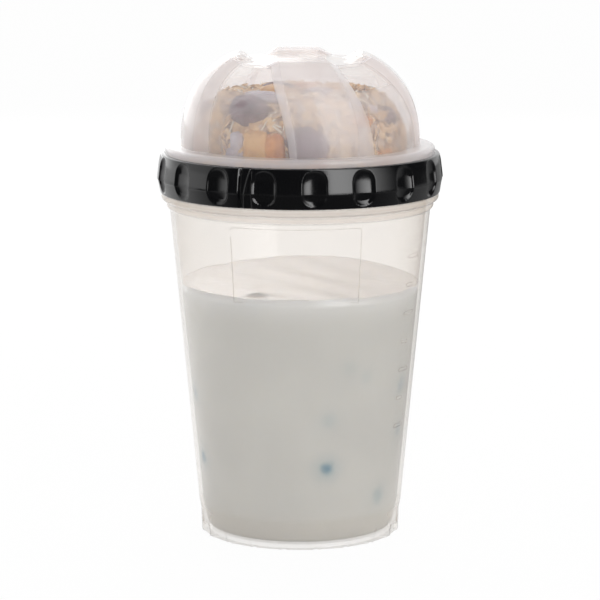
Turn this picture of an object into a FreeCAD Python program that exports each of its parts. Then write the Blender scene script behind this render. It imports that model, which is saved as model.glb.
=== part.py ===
import FreeCAD, Part

import math
import os
import re

import Sketcher
from FreeCAD import Placement, Rotation, Vector

# A clear yogurt cup with a domed muesli compartment. +Z is up and the front of the pack faces -Y.
# The origin is the middle of the foot, on the surface that the cup stands on. All sizes in mm.

SIZES = (
    ("foot_radius", 35.0, "outer radius of the foot ring"),
    ("foot_inner_radius", 31.2, "inner radius of the foot ring"),
    ("foot_chamfer", 0.6, "small chamfer round the bottom edge of the foot"),
    ("foot_top_z", 7.6, "height where the foot ring meets the tapered wall"),
    ("arch_count", 20, "arched scallops round the foot"),
    ("arch_radius", 4.3, "radius of each arched scallop"),
    ("arch_centre_z", 0.9, "height of the scallops' centre"),
    ("arch_depth", 0.75, "how deep a scallop goes into the foot ring"),
    ("floor_under_z", 1.2, "underside of the cup floor"),
    ("floor_top_z", 2.3, "top of the cup floor"),
    ("floor_radius", 32.2, "radius of the flat floor inside"),
    ("wall_thick", 1.5, "wall thickness of the cup"),
    ("wall_low_radius", 35.6, "outer radius at the foot of the tapered wall"),
    ("wall_low_z", 10.2, "height of the foot of the tapered wall"),
    ("wall_top_radius", 45.3, "outer radius at the top of the tapered wall"),
    ("wall_top_z", 113.4, "height of the top of the tapered wall"),
    ("ledge_radius", 46.5, "outer radius of the lower rim bead"),
    ("ledge_low_z", 114.6, "where the lower rim bead is widest"),
    ("ledge_top_z", 116.4, "upper end of the lower rim bead"),
    ("bead_radius", 48.3, "outer radius of the upper rim bead"),
    ("bead_low_z", 118.1, "where the upper rim bead is widest"),
    ("bead_top_z", 120.3, "flat top of the rim bead, on which the ring rests"),
    ("rim_radius", 46.9, "outer radius of the cup rim, the divider and the dome's skirt"),
    ("rim_top_z", 128.5, "top of the cup rim"),
    ("ring_low_radius", 48.7, "outer radius at the bottom of the grip ring"),
    ("ring_radius", 49.8, "largest outer radius of the grip ring"),
    ("ring_part_z", 125.2, "height of the ring's parting line, where it is widest"),
    ("ring_high_radius", 49.1, "outer radius near the top of the grip ring"),
    ("ring_high_z", 131.4, "where the ring starts to round over"),
    ("ring_top_radius", 47.9, "outer radius of the ring's flat top"),
    ("ring_top_z", 134.0, "top of the grip ring"),
    ("ring_round", 1.0, "rounding between the ring's side and its top"),
    ("scoop_count", 18, "finger scoops round the ring"),
    ("scoop_phase", 5.8, "degrees from the front to the nearest scoop"),
    ("scoop_depth", 1.5, "depth of a scoop's middle under the ring's largest radius"),
    ("scoop_radius", 6.6, "radius of a scoop's curve from side to side"),
    ("scoop_arc_radius", 12.8, "radius of a scoop's curve from top to bottom"),
    ("scoop_centre_z", 127.2, "height of the scoop's centre"),
    ("joint_angle", -24.0, "degrees from the front to the ring's joint"),
    ("slit_width", 0.6, "width of the slit between the ring's ends"),
    ("slit_depth", 1.5, "depth of the slit between the ring's ends"),
    ("divider_thick", 1.2, "thickness of the disc between muesli and yogurt"),
    ("skirt_thick", 1.3, "wall of the skirt round the dome's flange"),
    ("flange_round", 2.0, "rounding of the flange's outer top edge"),
    ("dome_base_z", 136.6, "top of the flange, from which the dome rises"),
    ("dome_wall", 1.2, "wall thickness of the dome"),
    ("petal_radius", 41.6, "radius of the dome over the petals, at its base"),
    ("petal_height", 36.2, "full height of the petals' rounded outline"),
    ("petal_top_z", 169.5, "flat top of the petals"),
    ("petal_power", 2.35, "exponent of the petals' rounded outline"),
    ("window_radius", 39.8, "radius of the sunken windows at the base"),
    ("window_height", 34.8, "full height of the windows' rounded outline"),
    ("window_top_z", 165.9, "flat disc at the top of the dome, between the petals"),
    ("window_power", 2.2, "exponent of the windows' rounded outline"),
    ("petal_count", 4, "petals round the dome"),
    ("petal_end_radius", 17.5, "distance from the axis to the petals' inner ends"),
    ("lean_foot", 13.4, "degrees that a crest's middle stands to the right at its foot"),
    ("lean_top", 1.9, "the same at its top"),
    ("crest_half_foot", 14.6, "half of the crest's width in degrees at its foot"),
    ("crest_half_top", 17.6, "the same at its top"),
    ("left_slope_foot", 2.9, "width of the slope to the left of a crest, at its foot"),
    ("left_slope_top", 4.4, "the same at its top"),
    ("right_slope_foot", 8.4, "width of the slope to the right of a crest, at its foot"),
    ("right_slope_top", 3.8, "the same at its top"),
    ("yogurt_level_z", 88.4, "mean height of the yogurt's surface"),
    ("yogurt_back_rise", 2.4, "how much higher the yogurt clings at the back"),
    ("yogurt_ripple", 0.35, "height of the surface's slow ripples"),
    ("muesli_radius", 38.2, "mean radius of the muesli heap at its foot"),
    ("muesli_top_z", 157.6, "top of the muesli heap"),
    ("muesli_crown_radius", 26.0, "radius of the flat part on top of the heap"),
    ("muesli_bump", 0.045, "unevenness of the heap, as a share of its radius"),
)
ALIASES = {alias for alias, _, _ in SIZES}
FULL_TURN = (Vector(0, 0, 0), Vector(0, 0, 1), 360)

OUTLINE_STEPS = 10          # points along a rounded outline
OVERSHOOT = 1.5             # how far a cutting body reaches past what it cuts
PETAL_LEVELS = 7            # sections up a petal's wedge
WEDGE_REACH = 6.0           # how far a petal's wedge reaches past its crest
WEDGE_ROOT = 0.6            # how far a petal's slopes reach in under the windows
HEAP_LEVELS = 6             # rings of points up the muesli heap
HEAP_SPOKES = 18            # points round each ring of the heap
SURFACE_STEPS = 9           # points each way over the yogurt's surface


def make_sheet(doc):
    """The driving dimensions, one row each: what it is, its value and its alias."""
    sheet = doc.addObject("Spreadsheet::Sheet", "Sizes")
    for row, (alias, value, note) in enumerate(SIZES, start=1):
        sheet.set(f"A{row}", note)
        sheet.set(f"B{row}", str(value))
        sheet.setAlias(f"B{row}", alias)
    doc.recompute()
    return sheet


def bound(expression):
    """The expression with each alias written as a reference to the sheet."""
    return re.sub(r"[a-z][a-z_]*", lambda word: "Sizes." + word[0] if word[0] in ALIASES else word[0],
                  expression)


def size(sheet, expression):
    """The number that an expression on the sheet's aliases gives."""
    return float(sheet.evalExpression(bound(expression)))


def origin_feature(body, role):
    return next(item for item in body.Origin.OriginFeatures if item.Role == role)


def new_body(doc, label):
    body = doc.addObject("PartDesign::Body", label)
    body.Label = label
    return body


def add_profile(body, sheet, name, corners):
    """A closed sketch in the XZ plane whose corners, (radius, height) expressions, follow the sheet."""
    sketch = body.newObject("Sketcher::SketchObject", name)
    sketch.AttachmentSupport = (origin_feature(body, "XZ_Plane"), [""])
    sketch.MapMode = "FlatFace"
    places = [Vector(size(sheet, radius), size(sheet, height), 0) for radius, height in corners]
    for start, end in zip(places, places[1:] + places[:1]):
        sketch.addGeometry(Part.LineSegment(start, end), False)
    for line in range(len(corners)):
        sketch.addConstraint(Sketcher.Constraint("Coincident", line, 2, (line + 1) % len(corners), 1))
    axis_of = {"DistanceX": -2, "DistanceY": -1}
    for line, (corner, place) in enumerate(zip(corners, places)):
        for kind, expression, value in zip(("DistanceX", "DistanceY"), corner, place):
            if expression == "0":
                sketch.addConstraint(Sketcher.Constraint("PointOnObject", line, 1, axis_of[kind]))
                continue
            index = sketch.addConstraint(Sketcher.Constraint(kind, -1, 1, line, 1, value))
            sketch.setExpression(f"Constraints[{index}]", bound(expression))
    return sketch


def add_lens(body, sheet, name, reach, radius):
    """A sketch in the XZ plane of an arc that bulges by reach from its axis, closed by a line on it."""
    sketch = body.newObject("Sketcher::SketchObject", name)
    sketch.AttachmentSupport = (origin_feature(body, "XZ_Plane"), [""])
    sketch.MapMode = "FlatFace"
    bulge, across = size(sheet, reach), size(sheet, radius)
    half = math.sqrt(across ** 2 - (across - bulge) ** 2)
    low, middle, high = Vector(0, -half, 0), Vector(bulge, 0, 0), Vector(0, half, 0)
    sketch.addGeometry(Part.Arc(low, middle, high), False)
    sketch.addGeometry(Part.LineSegment(high, low), False)
    for constraint in (("Coincident", 0, 2, 1, 1), ("Coincident", 1, 2, 0, 1), ("PointOnObject", 0, 1, -2),
                       ("PointOnObject", 0, 2, -2), ("PointOnObject", 0, 3, -1)):
        sketch.addConstraint(Sketcher.Constraint(*constraint))
    for kind, places, expression, value in (("Radius", (0,), radius, across),
                                            ("DistanceX", (0, 3, -1, 1), f"{radius} - {reach}", across - bulge)):
        index = sketch.addConstraint(Sketcher.Constraint(kind, *places, value))
        sketch.setExpression(f"Constraints[{index}]", bound(expression))
    sketch.Visibility = False
    return sketch


def turn_outwards(sketch, radius, angle, height):
    """Moves a sketch of the XZ plane to a distance from the axis and turns it to face outwards there."""
    turn = f"({angle} - 90) * 1 deg"
    sketch.AttachmentOffset = Placement(Vector(), Rotation(Vector(0, 1, 0), 1))
    for place, expression in (("Base.x", f"({radius}) * cos({turn})"), ("Base.y", height),
                              ("Base.z", f"-({radius}) * sin({turn})"), ("Rotation.Angle", turn)):
        sketch.setExpression(f".AttachmentOffset.{place}", bound(expression))


def revolve(body, sketch, name):
    """A full turn of the sketch round its vertical axis."""
    turned = body.newObject("PartDesign::Revolution", name)
    turned.Profile = sketch
    turned.ReferenceAxis = (sketch, ["V_Axis"])
    turned.Angle = 360
    sketch.Visibility = False
    body.Document.recompute()
    return turned


def place_on(feature, body, role, **offsets):
    """Attaches a feature to an origin plane and binds its offset to the sheet."""
    feature.AttachmentSupport = (origin_feature(body, role), [""])
    feature.MapMode = "FlatFace"
    for place, expression in offsets.items():
        feature.setExpression(".AttachmentOffset." + place.replace("_", "."), expression)


def repeat_round_axis(body, feature, name, count):
    pattern = body.newObject("PartDesign::PolarPattern", name)
    pattern.Originals = [feature]
    pattern.Axis = (origin_feature(body, "Z_Axis"), [""])
    pattern.Angle = 360
    pattern.setExpression("Occurrences", bound(count))
    body.Tip = pattern
    body.Document.recompute()
    return pattern


def circle_edge(feature, radius, height):
    """The name of the circular edge of this radius at this height."""
    for number, edge in enumerate(feature.Shape.Edges, start=1):
        circle = edge.Curve
        if (isinstance(circle, Part.Circle) and abs(circle.Radius - radius) < 1e-4
                and abs(circle.Center.z - height) < 1e-4):
            return f"Edge{number}"
    raise ValueError(f"no edge of radius {radius} at height {height}")


# The cup's inner wall runs parallel to the outer one, up to the rim.
WALL_SLOPE = "(wall_top_radius - wall_low_radius) / (wall_top_z - wall_low_z)"
CAVITY_CORNERS = (
    ("floor_radius", "floor_top_z"),
    ("wall_low_radius - wall_thick", "wall_low_z"),
    (f"wall_low_radius - wall_thick + {WALL_SLOPE} * (rim_top_z - wall_low_z)", "rim_top_z"),
)


def make_cup(doc, sheet):
    """Tapered cup with a scalloped foot ring and two beads under its rim."""
    body = new_body(doc, "cup")
    outside = (
        ("0", "floor_under_z"),
        ("foot_inner_radius", "floor_under_z"),
        ("foot_inner_radius", "0"),
        ("foot_radius - foot_chamfer", "0"),
        ("foot_radius", "foot_chamfer"),
        ("foot_radius", "foot_top_z"),
        ("wall_low_radius", "wall_low_z"),
        ("wall_top_radius", "wall_top_z"),
        ("ledge_radius", "ledge_low_z"),
        ("ledge_radius", "ledge_top_z"),
        ("bead_radius", "bead_low_z"),
        ("bead_radius", "bead_top_z"),
        ("rim_radius", "bead_top_z"),
        ("rim_radius", "rim_top_z"),
    )
    inside = tuple(reversed(CAVITY_CORNERS)) + (("0", "floor_top_z"),)
    revolve(body, add_profile(body, sheet, "cup_outline", outside + inside), "cup_shell")
    arch = body.newObject("PartDesign::SubtractiveCylinder", "foot_arch")
    arch.setExpression("Radius", bound("arch_radius"))
    arch.setExpression("Height", bound("arch_depth * 4"))
    place_on(arch, body, "YZ_Plane", Base_y=bound("arch_centre_z"),
             Base_z=bound("foot_radius - arch_depth"))
    repeat_round_axis(body, arch, "foot_arches", "arch_count")
    return body


def radial_offset(radius, angle, height):
    """Offset of a feature that looks outwards at a distance from the axis, angle degrees from the front."""
    turn = f"({angle} - 90) * 1 deg"
    return {
        "Base_x": bound(f"({radius}) * cos({turn})"),
        "Base_y": bound(f"({radius}) * sin({turn})"),
        "Base_z": bound(height),
        "Rotation_Angle": bound(turn),
    }


def make_grip_ring(doc, sheet):
    """Clamping ring with finger scoops and a joint where its two ends meet."""
    body = new_body(doc, "grip_ring")
    corners = (
        ("rim_radius", "bead_top_z"),
        ("ring_low_radius", "bead_top_z"),
        ("ring_radius", "ring_part_z"),
        ("ring_high_radius", "ring_high_z"),
        ("ring_top_radius", "ring_top_z"),
        ("rim_radius", "ring_top_z"),
    )
    outline = add_profile(body, sheet, "ring_outline", corners)
    turn_outwards(outline, "0", "90 + scoop_phase", "0")
    turned = revolve(body, outline, "ring_band")
    rounding = body.newObject("PartDesign::Fillet", "ring_rounding")
    rounding.Base = (turned, [circle_edge(turned, size(sheet, "ring_high_radius"), size(sheet, "ring_high_z"))])
    rounding.setExpression("Radius", bound("ring_round"))
    doc.recompute()

    scoop = body.newObject("PartDesign::Groove", "finger_scoop")
    scoop.Profile = add_lens(body, sheet, "scoop_outline", "scoop_radius", "scoop_arc_radius")
    scoop.ReferenceAxis = (scoop.Profile[0], ["V_Axis"])
    scoop.Angle = 360
    turn_outwards(scoop.Profile[0], "ring_radius - scoop_depth + scoop_radius", "scoop_phase", "scoop_centre_z")
    repeat_round_axis(body, scoop, "finger_scoops", "scoop_count")

    slit = body.newObject("PartDesign::SubtractiveBox", "joint_slit")
    slit.setExpression("Length", bound("slit_depth * 4"))
    slit.setExpression("Width", bound("slit_width"))
    slit.setExpression("Height", bound(f"ring_top_z - bead_top_z + {2 * OVERSHOOT}"))
    place_on(slit, body, "XY_Plane", **radial_offset(
        "ring_radius - slit_depth", "joint_angle", f"bead_top_z - {OVERSHOOT}"))
    body.Tip = slit
    doc.recompute()
    return body


def make_divider(doc, sheet):
    """Flat disc held between the cup's rim and the dome's skirt. The muesli lies on it."""
    disc = doc.addObject("Part::Cylinder", "divider")
    disc.setExpression("Radius", bound("rim_radius"))
    disc.setExpression("Height", bound("divider_thick"))
    disc.setExpression(".Placement.Base.z", bound("rim_top_z"))
    return disc


def outline_radius(sheet, kind, inset, height):
    """Radius of the windows' or petals' superellipse, shrunk by inset, at a height above the dome's base."""
    radius, full, power = (size(sheet, f"{kind}_{word}") for word in ("radius", "height", "power"))
    share = min(max(height, 0.0) / (full - inset), 1.0)
    return (radius - inset) * (1 - share ** power) ** (1 / power)


def rounded_solid(sheet, kind, inset, depth):
    """The solid under a superellipse, cut off flat at its top, that goes down depth below the base."""
    base_z = size(sheet, "dome_base_z")
    rise = size(sheet, f"{kind}_top_z") - inset - base_z
    heights = [rise * math.sin(step / OUTLINE_STEPS * math.pi / 2) for step in range(OUTLINE_STEPS + 1)]
    places = [Vector(outline_radius(sheet, kind, inset, height), 0, base_z + height) for height in heights]
    side = Part.BSplineCurve()
    side.interpolate(places)
    foot, shoulder = places[0], places[-1]
    below = Vector(0, 0, -depth)
    rest = Part.makePolygon([shoulder, Vector(0, 0, shoulder.z), Vector(0, 0, foot.z) + below, foot + below, foot])
    return Part.Face(Part.Wire([side.toShape()] + rest.Edges)).revolve(*FULL_TURN)


def between(sheet, name, share):
    """A size that goes from its foot value to its top value."""
    foot, top = size(sheet, name + "_foot"), size(sheet, name + "_top")
    return foot + (top - foot) * share


def petal_wedge(sheet, inset, depth):
    """A leaning wedge as wide as one petal: level crests with a slope down to the windows on each side."""
    base_z, end = size(sheet, "dome_base_z"), size(sheet, "petal_end_radius") + inset
    rise = size(sheet, "petal_top_z") - base_z
    sections = []
    for level in range(PETAL_LEVELS):
        share = math.sin(level / (PETAL_LEVELS - 1) * math.pi / 2)
        high = outline_radius(sheet, "petal", inset, rise * share)
        lean = size(sheet, "lean_foot") + (size(sheet, "lean_top") - size(sheet, "lean_foot")) * share ** 2.2
        sides = []
        for sign, slope in ((-1, "left_slope"), (1, "right_slope")):
            crest = lean + sign * (between(sheet, "crest_half", share) - math.degrees(0.5 * inset / high))
            foot = crest + sign * math.degrees(between(sheet, slope, share) / high)
            inner = end / math.cos(math.radians(foot))
            low = max(outline_radius(sheet, "window", inset, rise * share) - WEDGE_ROOT, inner + WEDGE_ROOT)
            sides.append([(inner, foot), (low, foot), (max(high, low + WEDGE_ROOT), crest),
                          (high + WEDGE_REACH, crest)])
        corners = [Vector(radius * math.sin(math.radians(angle)), -radius * math.cos(math.radians(angle)), 0)
                   for radius, angle in sides[0] + sides[1][::-1]]
        drop = -depth if level == 0 else OVERSHOOT if level == PETAL_LEVELS - 1 else 0
        lift = Vector(0, 0, base_z + rise * share + drop)
        sections.append(Part.makePolygon([corner + lift for corner in corners + corners[:1]]))
    return Part.makeLoft(sections, True, True)


def petalled_solid(sheet, inset, depth):
    """The dome as a solid lump, shrunk by inset: sunken windows with petals standing proud of them."""
    crown = rounded_solid(sheet, "petal", inset, depth)
    wedge = petal_wedge(sheet, inset, depth)
    count = int(size(sheet, "petal_count"))
    petals = []
    for number in range(count):
        turned = wedge.copy()
        turned.rotate(Vector(0, 0, 0), Vector(0, 0, 1), number * 360 / count)
        petals.append(crown.common(turned))
    return rounded_solid(sheet, "window", inset, depth).fuse(petals).removeSplitter()


def dome_flange(sheet):
    """Flat flange with a rounded edge and a skirt that stands on the divider."""
    rim, skirt, rounding, wall = (size(sheet, alias) for alias in
                                  ("rim_radius", "skirt_thick", "flange_round", "dome_wall"))
    foot_z, top_z = size(sheet, "rim_top_z + divider_thick"), size(sheet, "dome_base_z")
    inner = size(sheet, "window_radius - dome_wall")
    diagonal = rounding * math.sqrt(0.5)
    places = ((rim - rounding, top_z), (inner, top_z), (inner, top_z - wall), (rim - skirt, top_z - wall),
              (rim - skirt, foot_z), (rim, foot_z), (rim, top_z - rounding))
    corners = [Vector(radius, 0, height) for radius, height in places]
    middle = Vector(rim - rounding + diagonal, 0, top_z - rounding + diagonal)
    edge = Part.Arc(corners[-1], middle, corners[0]).toShape()
    return Part.Face(Part.Wire(Part.makePolygon(corners).Edges + [edge])).revolve(*FULL_TURN)


def make_dome(doc, sheet):
    """Clear dome with four leaning petals, on a rounded flange with a skirt."""
    wall = size(sheet, "dome_wall")
    outside = petalled_solid(sheet, 0, wall).fuse(dome_flange(sheet))
    dome = doc.addObject("Part::Feature", "dome")
    dome.Shape = outside.cut(petalled_solid(sheet, wall, wall + OVERSHOOT)).removeSplitter()
    return dome


def make_yogurt(doc, sheet):
    """Yogurt that fills the cup to its level, with a slowly rippled surface that clings at the back."""
    level, rise, ripple = (size(sheet, f"yogurt_{word}") for word in ("level_z", "back_rise", "ripple"))
    corners = [Vector(size(sheet, radius), 0, size(sheet, height)) for radius, height in CAVITY_CORNERS]
    top, bottom = Vector(0, 0, corners[-1].z), Vector(0, 0, corners[0].z)
    filling = Part.Face(Part.makePolygon([bottom] + corners + [top, bottom]))
    filling = filling.revolve(*FULL_TURN)

    reach = corners[-1].x + OVERSHOOT
    steps = [-reach + 2 * reach * step / (SURFACE_STEPS - 1) for step in range(SURFACE_STEPS)]
    grid = [[Vector(x, y, level + rise * max(0.0, y / reach) ** 2
                    + ripple * (math.sin(x / 9) + math.cos(y / 7 + x / 15))) for y in steps] for x in steps]
    surface = Part.BSplineSurface()
    surface.interpolate(grid)
    below = surface.toShape().extrude(Vector(0, 0, -2 * level))
    yogurt = doc.addObject("Part::Feature", "yogurt")
    yogurt.Shape = filling.common(below)
    return yogurt


def make_muesli(doc, sheet):
    """Heap of muesli on the divider, as one solid with an uneven outline."""
    foot_z, top_z = size(sheet, "rim_top_z + divider_thick"), size(sheet, "muesli_top_z")
    foot_radius, crown_radius, bump = (size(sheet, f"muesli_{word}") for word in ("radius", "crown_radius", "bump"))
    rings = []
    for level in range(HEAP_LEVELS):
        share = level / (HEAP_LEVELS - 1)
        mean = crown_radius + (foot_radius - crown_radius) * (1 - share ** 3.2) ** 0.6
        places = []
        for spoke in range(HEAP_SPOKES):
            angle = 2 * math.pi * spoke / HEAP_SPOKES
            radius = mean * (1 - bump + bump * (0.6 * math.sin(3 * angle + 2 * share)
                                                + 0.4 * math.sin(7 * angle - 5 * share)))
            places.append(Vector(radius * math.cos(angle), radius * math.sin(angle),
                                 foot_z + (top_z - foot_z) * share))
        ring = Part.BSplineCurve()
        ring.interpolate(places, PeriodicFlag=True)
        rings.append(Part.Wire(ring.toShape()))
    muesli = doc.addObject("Part::Feature", "muesli")
    muesli.Shape = Part.makeLoft(rings, True, False)
    return muesli


def main():
    doc = FreeCAD.newDocument("yogurt_cup")
    sheet = make_sheet(doc)
    makers = (make_cup, make_yogurt, make_grip_ring, make_divider, make_dome, make_muesli)
    nodes = [maker(doc, sheet) for maker in makers]
    doc.recompute()
    for item in doc.Objects:
        if {"Invalid", "Error"} & set(item.State):
            raise RuntimeError(f"{item.Label} failed: {item.State}")
    os.makedirs("parts", exist_ok=True)
    for node in nodes:
        if node.Shape.isNull() or not node.Shape.isValid() or len(node.Shape.Solids) != 1:
            raise RuntimeError(f"{node.Label} isn't one valid solid")
    for node in nodes:
        node.Shape.exportStep(f"parts/{node.Label}.step")
        box = node.Shape.BoundBox
        print(f"{node.Label}: {node.Shape.Volume / 1000:.1f} ml, z {box.ZMin:.2f} to {box.ZMax:.2f}, "
              f"x {box.XMin:.2f} to {box.XMax:.2f}, {len(node.Shape.Faces)} faces")


main()
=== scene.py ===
"""A clear cup of yogurt with a domed muesli compartment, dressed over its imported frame."""

from __future__ import annotations

import logging
import math
from dataclasses import dataclass, field
from enum import Enum
from typing import Callable, Iterable, Sequence

import bpy
import numpy as np
from mathutils import Matrix, Vector, noise

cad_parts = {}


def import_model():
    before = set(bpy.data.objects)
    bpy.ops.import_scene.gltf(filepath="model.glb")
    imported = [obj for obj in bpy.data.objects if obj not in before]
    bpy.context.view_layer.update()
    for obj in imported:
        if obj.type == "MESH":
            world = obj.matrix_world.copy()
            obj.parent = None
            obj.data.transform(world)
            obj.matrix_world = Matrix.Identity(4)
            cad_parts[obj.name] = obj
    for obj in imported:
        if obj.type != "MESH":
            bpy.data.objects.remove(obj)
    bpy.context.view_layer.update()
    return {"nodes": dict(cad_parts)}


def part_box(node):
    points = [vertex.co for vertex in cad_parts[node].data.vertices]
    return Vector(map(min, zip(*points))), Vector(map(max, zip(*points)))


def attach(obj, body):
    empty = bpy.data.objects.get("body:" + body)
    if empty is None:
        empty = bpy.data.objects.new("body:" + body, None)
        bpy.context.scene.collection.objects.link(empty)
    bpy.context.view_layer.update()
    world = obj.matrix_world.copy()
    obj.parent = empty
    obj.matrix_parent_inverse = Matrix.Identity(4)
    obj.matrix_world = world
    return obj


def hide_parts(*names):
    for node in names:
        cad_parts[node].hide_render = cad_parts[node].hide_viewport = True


LOG = logging.getLogger("yogurt_cup")
MM = 0.001                    # the sizes below are in millimetres, the frame in metres
Colour = tuple[float, float, float]
Profile = list[tuple[float, float]]


class Slot(Enum):
    """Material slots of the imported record."""

    CUP = "clear_cup"
    DOME = "clear_dome"
    DIVIDER = "clear_divider"
    RING = "black_ring"
    YOGURT = "yogurt"
    MUESLI = "muesli"


class Mark(Enum):
    """Attributes that mark where a clear wall is frosted or gathers shadow."""

    HAZE = "haze"
    SHADE = "shade"


# ---------------------------------------------------------------- shader helpers


class Sock:
    """A shader socket, or a number, that takes part in Python expressions."""

    def __init__(self, tree: "Tree", value: object) -> None:
        """Wraps a node's output or a plain number."""
        self.tree, self.value = tree, value

    def _math(self, operation: str, *values: object) -> "Sock":
        """Adds a Math node over this socket and the given values."""
        node = self.tree.node("ShaderNodeMath", {"operation": operation}, dict(enumerate(values)))
        return Sock(self.tree, node.outputs[0])

    def __add__(self, other: object) -> "Sock":
        """self + other."""
        return self._math("ADD", self, other)

    def __radd__(self, other: object) -> "Sock":
        """other + self."""
        return self._math("ADD", other, self)

    def __sub__(self, other: object) -> "Sock":
        """self - other."""
        return self._math("SUBTRACT", self, other)

    def __rsub__(self, other: object) -> "Sock":
        """other - self."""
        return self._math("SUBTRACT", other, self)

    def __mul__(self, other: object) -> "Sock":
        """self * other."""
        return self._math("MULTIPLY", self, other)

    def __rmul__(self, other: object) -> "Sock":
        """other * self."""
        return self._math("MULTIPLY", other, self)

    def __truediv__(self, other: object) -> "Sock":
        """self / other."""
        return self._math("DIVIDE", self, other)

    def __rtruediv__(self, other: object) -> "Sock":
        """other / self."""
        return self._math("DIVIDE", other, self)

    def __pow__(self, other: object) -> "Sock":
        """self ** other."""
        return self._math("POWER", self, other)

    def __rpow__(self, other: object) -> "Sock":
        """other ** self."""
        return self._math("POWER", other, self)

    def clamped(self, low: float = 0.0, high: float = 1.0) -> "Sock":
        """The value held between low and high."""
        return self._math("MINIMUM", self._math("MAXIMUM", self, low), high)

    def larger(self, other: object) -> "Sock":
        """The larger of the two values."""
        return self._math("MAXIMUM", self, other)

    def turn(self, other: object) -> "Sock":
        """The angle of the direction (other, self), in degrees."""
        return self._math("ARCTAN2", self, other) * math.degrees(1.0)

    def ramp(self, low: float, high: float) -> "Sock":
        """A smooth step from 0 at low to 1 at high."""
        settings = {"interpolation_type": "SMOOTHSTEP"}
        node = self.tree.node("ShaderNodeMapRange", settings,
                              {"Value": self, "From Min": low, "From Max": high})
        return Sock(self.tree, node.outputs[0])


class Tree:
    """The node tree of one material or of the world."""

    def __init__(self, owner: bpy.types.ID) -> None:
        """Empties the owner's node tree and keeps hold of it."""
        owner.use_nodes = True
        self.tree = owner.node_tree
        self.tree.nodes.clear()

    def node(self, kind: str, settings: dict | None = None,
             inputs: dict[object, object] | None = None) -> bpy.types.Node:
        """Makes one node.

        Args:
            kind: The node's type.
            settings: Its properties, set before its sockets.
            inputs: A value, a socket or a Sock for each input, by name or number.

        Returns:
            The new node.
        """
        made = self.tree.nodes.new(kind)
        for name, value in (settings or {}).items():
            setattr(made, name, value)
        for name, value in (inputs or {}).items():
            value = value.value if isinstance(value, Sock) else value
            if isinstance(value, bpy.types.NodeSocket):
                self.tree.links.new(value, made.inputs[name])
            else:
                made.inputs[name].default_value = value
        return made

    def sock(self, kind: str, settings: dict | None = None, inputs: dict[object, object] | None = None,
             output: object = 0) -> Sock:
        """One output of a new node, ready for expressions."""
        return Sock(self, self.node(kind, settings, inputs).outputs[output])

    def place(self) -> Sock:
        """Object coordinates."""
        return self.sock("ShaderNodeTexCoord", output="Object")

    def noise(self, scale: float, detail: float = 3.0, vector: Sock | None = None) -> Sock:
        """Noise between about 0.3 and 0.7, at a scale per metre."""
        inputs = {"Vector": vector or self.place(), "Scale": scale, "Detail": detail}
        return self.sock("ShaderNodeTexNoise", None, inputs)

    def blend(self, share: object, first: object, second: object) -> Sock:
        """A colour between two others."""
        colours = [(*value, 1.0) if isinstance(value, tuple) else value for value in (first, second)]
        return self.sock("ShaderNodeMix", {"data_type": "RGBA"},
                         {0: share, 6: colours[0], 7: colours[1]}, output=2)

    def bump(self, height: Sock, distance: float, strength: float = 1.0) -> Sock:
        """A normal bumped by a height in millimetres."""
        inputs = {"Height": height, "Distance": distance * MM, "Strength": strength}
        return self.sock("ShaderNodeBump", None, inputs)

    def finish(self, shader: bpy.types.Node, kind: str = "ShaderNodeOutputMaterial") -> None:
        """Links a shader to the tree's output."""
        self.node(kind, None, {"Surface": shader.outputs[0]})


# ---------------------------------------------------------------- finishes


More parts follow.
